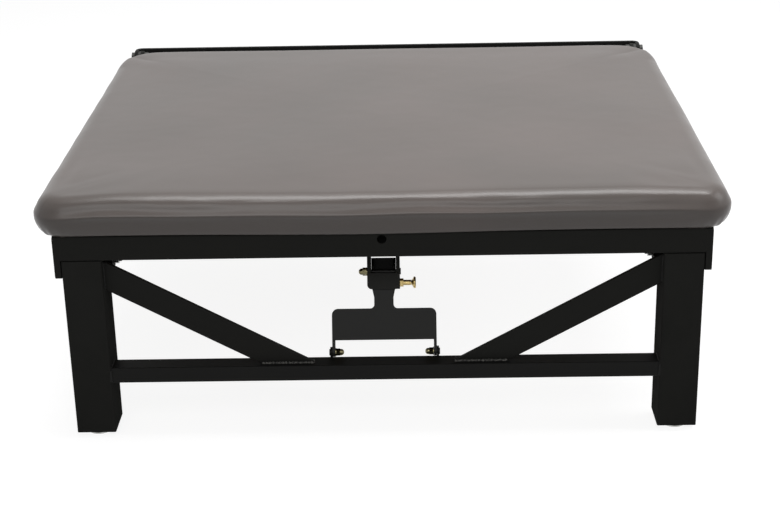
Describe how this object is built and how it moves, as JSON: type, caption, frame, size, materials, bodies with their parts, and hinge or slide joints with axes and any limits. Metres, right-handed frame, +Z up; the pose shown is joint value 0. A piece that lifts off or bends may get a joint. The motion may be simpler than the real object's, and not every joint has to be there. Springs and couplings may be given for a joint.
{
  "type": "wall-mounted folding mat table",
  "caption": "Low upholstered treatment mat on a steel deck that hinges on a wall bracket, with a folding front leg frame held by a locking stay and spring plunger.",
  "frame": {"origin": "centre of the wall bolt pattern, on the wall plane", "axes": "X along the wall to the right seen from the room, Y into the wall, Z up; the table reaches into the room along -Y"},
  "size_m": [1.32, 1.06, 0.508],
  "materials": {
    "deck_powder": "satin black powder coat",
    "wall_powder": "satin black powder coat",
    "leg_powder": "satin black powder coat",
    "stay_powder": "satin black powder coat",
    "bracket_powder": "satin black powder coat",
    "black_oxide": "black oxide",
    "mat_vinyl": "semi-gloss taupe grey vinyl",
    "plywood": "raw plywood",
    "black_plastic": "moulded, matt",
    "nylon_white": "natural nylon",
    "bronze_bush": "sintered bronze",
    "zinc_yellow": "yellow zinc plate",
    "zinc_plain": "bright zinc plate",
    "plunger_brass": "turned brass",
    "spring_steel": "bright steel"
  },
  "bodies": {
    "wall_bracket": {"wall_plate": "wall_powder", "wall_lug_left": "wall_powder", "wall_lug_right": "wall_powder", "hinge_spacers": "nylon_white", "hinge_bolts": "zinc_plain", "hinge_nuts": "zinc_plain"},
    "deck": {"deck_front_rail": "deck_powder", "deck_rear_rail": "deck_powder", "deck_side_rail_left": "deck_powder", "deck_side_rail_right": "deck_powder", "deck_centre_rail": "deck_powder", "deck_rib_left": "deck_powder", "deck_rib_right": "deck_powder", "rear_rail_caps": "black_plastic", "board_tabs": "deck_powder", "board_screws": "zinc_plain", "plywood_board": "plywood", "mat_cushion": "mat_vinyl", "hinge_arm_left": "deck_powder", "hinge_arm_right": "deck_powder", "hinge_bushes": "bronze_bush", "ear_outer_left": "deck_powder", "ear_outer_right": "deck_powder", "ear_inner_left": "deck_powder", "ear_inner_right": "deck_powder", "leg_pin_bolts": "black_oxide", "leg_pin_nuts": "zinc_plain", "leg_pin_washers": "nylon_white", "catch_bracket": "bracket_powder", "catch_bolt": "bracket_powder", "catch_nut": "zinc_yellow", "plunger_barrel": "plunger_brass", "plunger_spring": "spring_steel"},
    "leg_frame": {"leg_left": "leg_powder", "leg_right": "leg_powder", "leg_sleeves": "zinc_plain", "leg_top_caps": "leg_powder", "leg_foot_plugs": "black_plastic", "crossbar": "leg_powder", "brace_left": "leg_powder", "brace_right": "leg_powder", "stay_tab_left": "leg_powder", "stay_tab_right": "leg_powder", "stay_pivot_bolts": "black_oxide", "stay_pivot_nuts": "zinc_yellow"},
    "stay": {"stay_plate": "stay_powder", "stay_head": "stay_powder", "stay_flange_left": "stay_powder", "stay_flange_right": "stay_powder"},
    "plunger": {"plunger_pin": "spring_steel", "plunger_knob": "plunger_brass"},
    "foot_left": {"glide_left": "zinc_plain", "glide_stem_left": "zinc_plain"},
    "foot_right": {"glide_right": "zinc_plain", "glide_stem_right": "zinc_plain"}
  },
  "joints": [
    {"name": "deck_lift", "type": "hinge", "parent": "wall_bracket", "child": "deck", "pos_m": [0, -0.028, 0.05], "axis": [-1, 0, 0], "range_deg": [0, 90]},
    {"name": "leg_fold", "type": "hinge", "parent": "deck", "child": "leg_frame", "pos_m": [0, -0.9813, -0.0843], "axis": [1, 0, 0], "range_deg": [0, 90]},
    {"name": "stay_fold", "type": "hinge", "parent": "leg_frame", "child": "stay", "pos_m": [0, -0.989, -0.2887], "axis": [1, 0, 0], "range_deg": [-160.02, 0]},
    {"name": "plunger_pull", "type": "slide", "parent": "deck", "child": "plunger", "axis": [1, 0, 0], "range_m": [0, 0.008], "stiffness_N_per_m": 500, "springref_m": -0.012},
    {"name": "foot_screw_left", "type": "slide", "parent": "leg_frame", "child": "foot_left", "axis": [0, 0, 1], "range_m": [-0.015, 0]},
    {"name": "foot_screw_right", "type": "slide", "parent": "leg_frame", "child": "foot_right", "axis": [0, 0, 1], "range_m": [-0.015, 0]}
  ],
  "couplings": [
    {"joint": "stay_fold", "follows": "leg_fold", "ratio": -1.7778}
  ]
}
